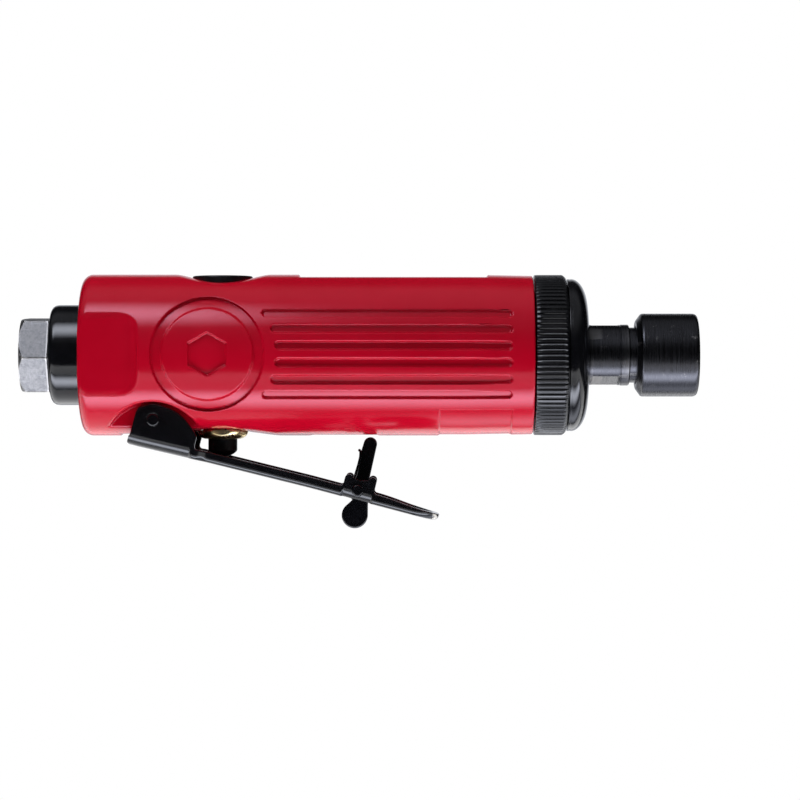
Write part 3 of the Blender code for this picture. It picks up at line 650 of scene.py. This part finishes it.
def build_inlet():
    """The hexagon with its chamfered corners, the plain shank and the threaded socket."""
    chamfer = spaced((-140.85, 8.95), (-139.7, 10.12), 12)
    profile = [(INLET_REAR, 5.9), (INLET_REAR, 8.5), (-140.96, 8.75), (-140.85, 8.95), *chamfer,
               *spaced((-139.7, 10.12), (-134.0, 10.15), 16), (-134.0, 7.3),
               (-110.0, 7.3), (-110.0, 5.7), (-113.6, 5.7), (-113.6, 4.5), (-129.0, 4.5),
               (-129.0, 5.3)]
    for i in range(20):
        x = -129.6 - i * 0.56
        if x > INLET_REAR + 0.4:
            profile += [(x, 5.32), (x - 0.28, 5.72)]
    turned_piece("inlet_hex_bushing", "body", "inlet_bushing", "zinc", LOOKS["zinc"], profile,
                 240, shape=hexagon_limit(INLET_ACROSS_FLATS, 5, 0.12))


def build_collar():
    """The black collar, with six exhaust ports round the inlet."""
    rear, front, radius = COLLAR_REAR, -123.0, COLLAR_RADIUS
    profile = rounded([(rear, 7.65), (rear, radius, 2.0), (front, radius), (front, 11.1),
                       (-132.2, 11.1), (-132.2, 7.65)], 0.2)
    piece = turned_piece("exhaust_collar", "body", "exhaust_deflector", "black_enamel",
                         LOOKS["black_enamel"], profile, 128)
    ports = bpy.data.meshes.new("exhaust_port_tools")
    bm = bmesh.new()
    for y, z in arc((0, 0), 10.2, 30, 330, 5):
        at = Matrix.Translation((-0.134, y * MM, z * MM)) @ Matrix.Rotation(math.pi / 2, 4, "Y")
        bmesh.ops.create_cone(bm, cap_ends=True, segments=24, radius1=0.0008, radius2=0.0008,
                              depth=0.006, matrix=at)
    bm.to_mesh(ports)
    bm.free()
    bake_cut(piece, ports)


def bake_cut(piece, tool_mesh):
    """Cuts a tool out of a piece and leaves plain mesh behind."""
    tool = bpy.data.objects.new("cutting_tool", tool_mesh)
    bpy.context.collection.objects.link(tool)
    modifier = piece.modifiers.new("cut", "BOOLEAN")
    modifier.object = tool
    modifier.solver = "EXACT"
    piece.modifiers.move(len(piece.modifiers) - 1, 0)
    graph = bpy.context.evaluated_depsgraph_get()
    finished = bpy.data.meshes.new_from_object(piece.evaluated_get(graph))
    piece.modifiers.clear()
    piece.data = finished
    bpy.data.objects.remove(tool)
    bpy.data.meshes.remove(tool_mesh)


def knurl(x, radius, turn):
    """Straight grooves between flat-topped ridges, fading out at the ring's two chamfers."""
    if radius < 18.2:
        return radius
    share = (turn * KNURL_RIDGES / math.tau) % 1
    valley = 0.5 + 0.5 * math.cos(math.pi * min(1.0, abs(share - 0.5) / 0.32))
    shallow = min(1.0, max(0.0, (min(x + 15.65, -8.35 - x) + 0.1) / 0.5))
    return radius - KNURL_DEPTH * valley * shallow


def build_nose():
    rear, front = -15.8, -8.0
    profile = [(rear, 17.35), (rear, 19.3), (rear + 0.1, 19.48), (rear + 0.3, 19.58),
               *spaced((rear + 0.5, 19.6), (front - 1.1, 19.6), 6),
               (front - 0.8, 19.5), (front - 0.45, 19.25), (front - 0.12, 18.9),
               (front, 18.6), (front, 17.35)]
    turned_piece("knurled_grip_ring", "body", "grip_ring", "black_enamel",
                 LOOKS["ring"], profile, KNURL_RIDGES * 16, shape=knurl)
    dome = [(-2.8 - 3.9 * (1 - math.sin(t)), 18.6 - 6.9 * (1 - math.cos(t)))
            for t in (math.radians(90 * i / 20) for i in range(21))]
    cap = rounded([(-19.6, 13.35), (-19.6, 15.3), (-15.8, 15.3), (-15.8, 17.05), (-7.7, 17.05),
                   (-7.7, 18.6), (-7.0, 18.6)], 0.15)
    cap = cap[:-1] + dome
    cap += rounded([(-2.8, 10.0), (-2.8, 8.0, 0.35), (-8.6, 8.0)], 0.1, closed=False)[1:]
    cap += [(-8.6, 10.6), (-11.6, 10.6), (-11.6, 8.0), (-15.6, 8.0), (-18.6, 10.2),
            (-18.6, 13.35)]
    turned_piece("domed_nose_cap", "body", "nose_cap", "black_enamel", LOOKS["black_enamel"],
                 cap, 160)


def spindle_shape(x, radius, turn):
    """Two wrench flats across the nose of the spindle."""
    if not -1.61 < x < 4.71 or radius < 6.6:
        return radius
    away = abs(math.sin(turn + math.radians(16.5)))
    return min(radius, 6.5 / away) if away > 0.1 else radius


def build_spindle():
    profile = [(-75.6, 0), (-75.6, 2.8), (-75.4, 3.0), (-68.3, 3.0), (-68.3, 4.5), (-64.2, 4.6),
               (-32.3, 4.6), (-31.7, 5.0), (-19.9, 5.0), (-19.9, 7.0), (-3.4, 7.0),
               (-2.5, 7.4), (-2.3, 7.45), (-1.6, 7.45), (-1.6, 7.45 - 0.001),
               *spaced((-1.6, 7.45), (4.7, 7.45), 4), (4.701, 7.45), (4.95, 7.45), (5.05, 7.3),
               (5.3, 7.3), (5.4, 7.45), (7.2, 7.45), (7.4, 7.25), (7.4, 6.85), (7.5, 6.75),
               (9.2, 6.75), (9.3, 6.4), (9.6, 6.4)]
    for i in range(9):
        x = 9.9 + i * 0.85
        profile += [(x, 6.35), (x + 0.42, 5.9)]
    profile += [(17.8, 6.1), (18.0, 5.9), (18.0, 5.4), (12.5, 4.75), (2.5, 4.75), (2.5, 3.35),
                (0.9, 3.35), (0, 2.4), (0, 0)]
    turned_piece("spindle_shaft", "motor_shaft", "spindle", "black_oxide",
                 LOOKS["black_oxide"], profile, 180, shape=spindle_shape)


def collet_field(x, y, z):
    out = np.hypot(y, z)
    body = outline_field([(4.0, 0), (4.0, 4.45), (12.2, 4.45), (17.9, 5.07), (18.4, 5.5),
                          (20.4, 5.5), (22.9, 4.2), (22.9, 0)], x + 0 * out, out + 0 * x)
    body = cut(body, out - 3.23, 0.2)
    for across in ((y + z), (y - z)):
        slit = np.maximum(np.abs(across) / math.sqrt(2) - 0.4, 8.0 - x)
        body = cut(body, slit, 0.1)
    return body


def build_collet():
    pitch = 0.2
    mesh = solid("collet_jaws", collet_field, (4.0, -5.6, -5.6), (22.9, 5.6, 5.6), pitch)
    add_piece("collet_jaws", mesh, "collet", "collet", LOOKS["steel"])
    front, rear, radius = 24.2, 9.1, 10.15
    nut = rounded([(rear, 7.1), (rear, radius - 1.8, 0.5), (rear + 1.3, radius, 0.9),
                   (front, radius, 1.35), (front, 4.75, 0.5), (23.1, 4.75), (20.6, 5.9),
                   (18.7, 5.9), (18.7, 6.7), (9.9, 6.7), (9.9, 7.1)], 0.15, 6)
    turned_piece("collet_nut_body", "nut", "collet_nut", "black_oxide", LOOKS["black_oxide"],
                 nut, 144)


# Valve and regulator

def build_valve():
    """The brass hexagon bushing with its domed face, and the black button in it."""
    at = (VALVE_X, 0, 0)
    crown = [(-20.5 + 2.0 * (1 - math.cos(a)), 4.0 + 2.25 * math.sin(a))
             for a in (math.radians(6 * k) for k in range(16))]
    profile = [(-20.5, 3.9), *crown, (-18.4, 6.2), (-18.4, 4.9),
               (-9.8, 4.9), (-9.8, 3.7), (-8.6, 3.7), (-8.6, 4.9), (-8.0, 4.9), (-8.0, 2.6),
               (-12.6, 2.6), (-12.6, 1.8), (-13.8, 1.8), (-13.8, 3.85), (-20.3, 3.85)]
    turned_piece("valve_hex_bushing", "body", "valve_bushing", "brass", LOOKS["brass"], profile,
                 180, axis="Z", at=at, shape=hexagon_limit(11.7, 0, 0.08))
    centre = -23.35 + math.sqrt(4.74 ** 2 - 3.55 ** 2)
    edge = math.degrees(math.asin(3.55 / 4.74))
    dome = arc((centre, 0), 4.74, 180, 180 - edge, 12)
    stem = [(dome[0][0], 0), *dome[1:-1], (-23.4, 3.45), (-23.2, 3.55), (-17.0, 3.55),
            (-16.6, 3.3), (-16.6, 1.5), (-6.6, 1.5), (-6.6, 3.6), (-5.0, 3.6), (-5.0, 1.2),
            (-3.4, 1.2), (-3.4, 0)]
    turned_piece("valve_push_button", "valve", "valve_stem", "black_plastic",
                 LOOKS["black_plastic"], stem, 96, axis="Z", at=at)


def regulator_field(x, y, z):
    x = x - VALVE_X
    out = np.hypot(x, y)
    body = np.maximum(out - 6.9, between(z, -4.2, 18.0))
    disc = both(out - 7.35, between(z, 17.2, 19.3), 0.35)
    body = np.minimum(body, disc)
    for low, high, radius in ((8.6, 9.8, 6.1), (11.8, 13.2, 5.7)):
        body = cut(body, np.maximum(radius - out, between(z, low, high)))
    body = cut(body, np.maximum(out - 5.2, z - 6.3))
    body = cut(body, np.maximum(np.hypot(y, z) - 4.1, x + 2))
    slot_end = np.hypot(np.maximum(np.abs(x) - 4.5, 0), y) - 0.7
    slot = both(np.abs(y) - 0.7, np.maximum(18.4 - z, slot_end), 0.1)
    return cut(body, slot, 0.15)


def build_regulator():
    pitch = 0.22
    low, high = (VALVE_X - 7.35, -7.35, -4.2), (VALVE_X + 7.35, 7.35, 19.3)
    mesh = solid("regulator_dial", regulator_field, low, high, pitch)
    add_piece("regulator_dial", mesh, "regulator", "regulator",
              LOOKS["black_plastic"])


# Throttle lever and lock-off, in the lever's own frame: X along it and Z up from its plate

LEVER_FRAME = Matrix.Translation(LEVER_PIVOT) @ Matrix.Rotation(LEVER_TILT, 4, "Y")
LOCK_PIVOT = LEVER_FRAME @ Vector((LOCK_ALONG, 0, LOCK_HEIGHT))
LOCK_FRAME = Matrix.Translation(LOCK_PIVOT)

FLANGE = [(-4.5, -6.6), (11.3, -6.1), (11.3, -1.4), (10.6, -0.4), (9.6, 0.5), (7.4, 2.2),
          (5.4, 3.2), (3.2, 3.8), *arc((0, 0), 4.0, 80, 126, 5), (-4.2, 2.1), (-4.5, 0.9)]


def ear_outline():
    along, height = LOCK_ALONG, LOCK_HEIGHT
    return [(along - 3.8, height - 1.7), (along + 4.0, height - 1.7),
            *arc((along + 2.9, height + 3.0), 1.0, 0, 180, 8), (along - 0.2, height + 2.4),
            *arc((along - 2.8, height + 2.3), 1.0, 30, 180, 7)]


def share_between(value, start, end):
    """How far a value has gone from one limit to the other, eased, from 0 to 1."""
    t = np.clip((value - start) / (end - start), 0, 1)
    return t * t * (3 - 2 * t)


def lever_field(x, y, z):
    wide = np.abs(y)
    half = 10.8 - 1.5 * share_between(x, 12, 15)
    nose = np.hypot(np.maximum(x - 65.9, 0), np.maximum(wide - 2.3, 0)) - 7.0
    side = np.where(x > 65.9, nose, wide - half)
    plan = np.maximum(side, -4.5 - x)
    drop = 0.4 * np.clip((40 - x) / 25, 0, 1) + 0.5 * np.clip((15 - x) / 17, 0, 1)
    low, high = PLATE_BOTTOM - drop, PLATE_TOP - drop
    top = high + 1.1 * share_between(x, 9, 13) * (1 - 0.85 * share_between(x, 57, 71))
    body = both(plan, between(z, low, high), 0.35)
    rim = both(both(side, -1.5 - side, 0.35), between(z, low, top), 0.35)
    body = join(body, rim, 0.6)
    flange = both(outline_field(FLANGE, x + 0 * z, z + 0 * x), between(wide, 9.3, 10.8), 0.3)
    body = join(body, flange, 1.2)
    ear = both(outline_field(ear_outline(), x + 0 * z, z + 0 * x), between(wide, 7.8, 9.4), 0.35)
    body = join(body, ear, 0.7)
    at_ear = share_between(x, 48.2, 48.9) * share_between(x, 56.4, 55.7)
    bend = 1.3 + 1.9 * share_between(x, 11.4, 10.2) + 1.3 * at_ear
    body = np.maximum(body, both(side, low - z, bend))
    body = cut(body, np.hypot(x, z) - 1.6, 0.15)
    body = cut(body, np.hypot(x - LOCK_ALONG, z - LOCK_HEIGHT) - 1.3, 0.15)
    window = np.maximum(between(x, LOCK_ALONG - 3.3, LOCK_ALONG + 3.4), wide - 7.3)
    body = cut(body, np.maximum(window, z + 3.8), 0.25)
    slot = np.maximum(between(x, 44.2, 62.4), wide - 2.3)
    return cut(body, slot, 0.25)


def build_lever():
    pitch = 0.24
    mesh = solid("pressed_throttle_lever", lever_field, (-4.5, -10.8, -7.2),
                 (LEVER_LENGTH, 10.8, 4.1), pitch, LEVER_FRAME)
    add_piece("pressed_throttle_lever", mesh, "throttle", "throttle_lever",
              LOOKS["lever"])
    pin = rounded([(-11.1, 0), (-11.1, 1.5), (11.1, 1.5), (11.1, 0)], 0.4, closed=False)
    turned_piece("lever_hinge_pin", "body", "lever_pivot_pin", "steel", LOOKS["black_enamel"],
                 pin, 48, axis="Y", at=LEVER_PIVOT)


LOCK_OUTLINE = [*arc((2.98, 11.15), 1.63, -15, 165, 16), (-1.15, 3.2), (-2.2, 0.6), (-2.1, -1.4),
                (-1.5, -2.6), *arc((-0.85, -6.3), 3.2, 125, 360, 26), (2.4, -2.0), (2.75, 2.6)]


def lock_field(x, y, z):
    side = outline_field(LOCK_OUTLINE, x + 0 * z, z + 0 * x)
    body = both(side, np.abs(y) - 2.0, 0.45)
    return cut(body, np.hypot(x, z) - 1.3, 0.15)


def round_wire(name, points, radius, look, body, node):
    curve = bpy.data.curves.new(name, "CURVE")
    curve.dimensions = "3D"
    curve.bevel_depth = radius * MM
    curve.bevel_resolution = 4
    curve.use_fill_caps = True
    spline = curve.splines.new("POLY")
    spline.points.add(len(points) - 1)
    for point, place in zip(spline.points, points):
        point.co = (*(Vector(place) * MM), 1)
    holder = bpy.data.objects.new(name + "_path", curve)
    bpy.context.collection.objects.link(holder)
    graph = bpy.context.evaluated_depsgraph_get()
    mesh = bpy.data.meshes.new_from_object(holder.evaluated_get(graph))
    bpy.data.objects.remove(holder)
    mesh.materials.clear()
    mesh.shade_smooth()
    return add_piece(name, mesh, body, node, look)


def lock_spring_points():
    start, end, steps, coil = 180, 1550, 180, 2.0
    bends = [(0.3, 0.8, 9.6), (0.3, -2.3, 9.6), (0.42, -2.55, 9.5), (0.6, -2.65, 9.3),
             (0.55, -2.67, 8.0), (-0.5, -2.8, 3.6), (-1.4, -2.9, 1.6)]
    points = [tuple(p) for p in bends]
    for i in range(steps + 1):
        turn = math.radians(start + (end - start) * i / steps)
        across = -2.95 + (-6.3 + 2.95) * i / steps
        points.append((coil * math.cos(turn), across, coil * math.sin(turn)))
    turned = Matrix.Rotation(LEVER_TILT, 3, "Y")
    foot = turned @ Vector((-5.2, -6.3, PLATE_TOP + 0.65 - LOCK_HEIGHT))
    points.append(tuple(foot))
    return [LOCK_PIVOT + Vector(p) for p in points]


def build_lock():
    pitch = 0.16
    mesh = solid("lock_off_lever", lock_field, (-4.1, -2, -9.6), (4.7, 2, 12.9), pitch,
                 LOCK_FRAME)
    add_piece("lock_off_lever", mesh, "lock", "lock_lever",
              LOOKS["black_enamel"])
    spring = round_wire("lock_torsion_spring", lock_spring_points(), 0.33,
                        LOOKS["black_enamel"], None, "lock_spring")
    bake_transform(spring)
    half = 10.2
    pin = rounded([(-half, 0), (-half, 1.3, 0.4), (-half + 0.5, 1.3), (-half + 0.5, 1.0),
                   (half - 0.5, 1.0), (half - 0.5, 1.3), (half, 1.3, 0.4), (half, 0)], 0.1,
                  closed=False)
    turned_piece("lock_pin_rivet", "throttle", "lock_pin", "steel", LOOKS["black_enamel"], pin,
                 48, axis="Y", at=LOCK_PIVOT)


# Hidden working parts keep their CAD shape and get a finished surface

def finish_cad_nodes():
    replaced = {"housing", "inlet_bushing", "exhaust_deflector", "grip_ring", "nose_cap",
                "spindle", "collet", "collet_nut", "valve_bushing", "valve_stem", "regulator",
                "throttle_lever", "lever_pivot_pin", "lock_lever", "lock_spring", "lock_pin"}
    looks = {"o_ring": "rubber", "seal": "rubber", "dust_seal": "felt", "felt": "felt",
             "blade": "composite", "race": "bearing_steel", "cage": "brass"}
    for name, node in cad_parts.items():
        if name in replaced:
            continue
        look = "steel"
        for word, choice in looks.items():
            if word in name:
                look = choice
        for slot in node.material_slots:
            slot.material = LOOKS[look]


# Studio

def pale_floor():
    """A white table that glows by its own emission and lights the tool from below, with painted
    shade: the glow is dimmest in a pool around the centre, under the tool, and full towards its
    edges.
    """
    look = Look("pale_floor", 0.9)
    look.shader.inputs["Base Color"].default_value = (0.9, 0.9, 0.9, 1)
    look.shader.inputs["Emission Color"].default_value = (1, 1, 1, 1)
    shift = look.node("ShaderNodeVectorMath", operation="ADD")
    shift.inputs[1].default_value = (0.0, 0.10, 0.0)
    look.link(look.place, shift.inputs[0])
    distance = look.node("ShaderNodeVectorMath", operation="LENGTH")
    look.link(shift.outputs["Vector"], distance.inputs[0])
    # Painted shadow: the glow strength runs from 0.26 in the pool under the tool up to 1.0 towards
    # the table's edges.
    level = look.remap(distance.outputs["Value"], 0.12, 0.36, 0.26, 1.0)
    look.link(level, look.shader.inputs["Emission Strength"])
    return look.material


def flat_sheet(name, low, high, material):
    mesh = bpy.data.meshes.new(name)
    corners = [(low[0], low[1], 0), (high[0], low[1], 0), (high[0], high[1], 0),
               (low[0], high[1], 0)]
    mesh.from_pydata(corners, [], [(0, 1, 2, 3)])
    mesh.materials.append(material)
    sheet = bpy.data.objects.new(name, mesh)
    bpy.context.collection.objects.link(sheet)
    return sheet


def soft_strip(name, place, aim, size, strength, share=0.35):
    """A soft box: a sheet lit on one side that fades towards its long edges and its ends."""
    material = bpy.data.materials.new(name)
    material.use_nodes = True
    tree = material.node_tree
    tree.nodes.clear()
    output = tree.nodes.new("ShaderNodeOutputMaterial")
    emission = tree.nodes.new("ShaderNodeEmission")
    coords = tree.nodes.new("ShaderNodeTexCoord")
    split = tree.nodes.new("ShaderNodeSeparateXYZ")
    tree.links.new(coords.outputs["Generated"], split.inputs["Vector"])
    level = strength
    for socket, soft in (("X", share * 0.4), ("Y", 0.5)):
        for low, high in ((0.0, soft), (1.0, 1.0 - soft)):
            fade = eased(tree, split.outputs[socket], low, high)
            level = combined(tree, "MULTIPLY", level, fade)
    emission.inputs["Color"].default_value = (0.84, 0.88, 1, 1)
    tree.links.new(level, emission.inputs["Strength"])
    back = tree.nodes.new("ShaderNodeBsdfTransparent")
    faces = tree.nodes.new("ShaderNodeMixShader")
    reverse = tree.nodes.new("ShaderNodeNewGeometry")
    tree.links.new(reverse.outputs["Backfacing"], faces.inputs["Fac"])
    tree.links.new(emission.outputs["Emission"], faces.inputs[1])
    tree.links.new(back.outputs["BSDF"], faces.inputs[2])
    tree.links.new(faces.outputs["Shader"], output.inputs["Surface"])
    sheet = flat_sheet(name, (-size[0] / 2, -size[1] / 2), (size[0] / 2, size[1] / 2), material)
    sheet.location = place
    sheet.rotation_mode = "QUATERNION"
    facing = (Vector(aim) - Vector(place)).normalized()
    sideways = Vector((1, 0, 0))
    up = facing.cross(sideways).normalized()
    sheet.rotation_quaternion = Matrix((sideways, up, facing)).transposed().to_quaternion()
    sheet.visible_camera = False
    sheet.visible_shadow = False
    return sheet


def area_light(name, place, aim, size, power, glossy=True):
    data = bpy.data.lights.new(name, "AREA")
    data.shape = "RECTANGLE"
    data.size, data.size_y = size
    data.energy = power
    lamp = bpy.data.objects.new(name, data)
    lamp.location = place
    direction = Vector(aim) - Vector(place)
    lamp.rotation_euler = direction.to_track_quat("-Z", "Y").to_euler()
    lamp.visible_camera = False
    lamp.visible_glossy = glossy
    bpy.context.collection.objects.link(lamp)
    return lamp


def build_world():
    """White to the camera. To the object, a dim room that is brighter above and behind it."""
    world = bpy.data.worlds.new("studio")
    bpy.context.scene.world = world
    world.use_nodes = True
    tree = world.node_tree
    tree.nodes.clear()
    output = tree.nodes.new("ShaderNodeOutputWorld")
    seen = tree.nodes.new("ShaderNodeBackground")
    room = tree.nodes.new("ShaderNodeBackground")
    path = tree.nodes.new("ShaderNodeLightPath")
    choose = tree.nodes.new("ShaderNodeMixShader")
    coords = tree.nodes.new("ShaderNodeTexCoord")
    split = tree.nodes.new("ShaderNodeSeparateXYZ")
    seen.inputs["Color"].default_value = (1, 1, 1, 1)
    seen.inputs["Strength"].default_value = 1.0
    room.inputs["Color"].default_value = (0.90, 0.93, 1, 1)
    tree.links.new(coords.outputs["Generated"], split.inputs["Vector"])
    above = eased(tree, split.outputs["Z"], 0.35, 0.80, 0.012, 0.28)
    ahead = eased(tree, split.outputs["Y"], 0.15, 0.60, 1.0, 0.08)
    behind = eased(tree, split.outputs["Y"], 0.82, 0.97, 0.0, 0.85)
    level = combined(tree, "MAXIMUM", combined(tree, "MULTIPLY", above, ahead), behind)
    tree.links.new(level, room.inputs["Strength"])
    tree.links.new(path.outputs["Is Camera Ray"], choose.inputs["Fac"])
    tree.links.new(room.outputs["Background"], choose.inputs[1])
    tree.links.new(seen.outputs["Background"], choose.inputs[2])
    tree.links.new(choose.outputs["Shader"], output.inputs["Surface"])


FLOOR = -0.20


def build_studio():
    build_world()
    floor = flat_sheet("floor", (-0.6, -0.42), (0.6, 0.42), pale_floor())
    floor.location = (-0.05, 0, FLOOR)
    soft_strip("low_front_soft_box", (-0.05, -0.10, FLOOR + 0.006), (-0.05, -0.10, 0),
               (0.75, 0.17), 9.2)
    soft_strip("low_rear_soft_box", (0.09, 0.06, FLOOR + 0.006), (0.09, 0.06, 0),
               (0.34, 0.18), 2.2)
    soft_strip("high_left_soft_box", (-0.271, -0.259, 0.433), (-0.15, 0, 0), (0.37, 0.44), 8.0)
    area_light("front_fill", (-0.05, -0.9, 0.35), (-0.05, 0, 0), (0.9, 0.5), 0.86, glossy=False)
    area_light("back_fill", (-0.05, 0.9, 0.35), (-0.05, 0, 0), (0.9, 0.5), 0.8, glossy=False)
    area_light("top_fill", (-0.05, 0.0, 0.8), (-0.05, 0, 0), (0.9, 0.6), 5.1, glossy=False)
    scene = bpy.context.scene
    scene.view_settings.view_transform = "Standard"
    scene.view_settings.look = "None"


def build_camera():
    data = bpy.data.cameras.new("camera")
    data.lens = 135
    data.sensor_width = 36
    data.clip_start, data.clip_end = 0.05, 20
    camera = bpy.data.objects.new("camera", data)
    camera.location = (-0.0485, -0.735, -0.011)
    camera.rotation_euler = (math.radians(90), 0, 0)
    bpy.context.collection.objects.link(camera)
    bpy.context.scene.camera = camera


build_camera()
build_studio()
build_housing()
build_inlet()
build_collar()
build_nose()
build_spindle()
build_collet()
build_valve()
build_regulator()
build_lever()
build_lock()
finish_cad_nodes()
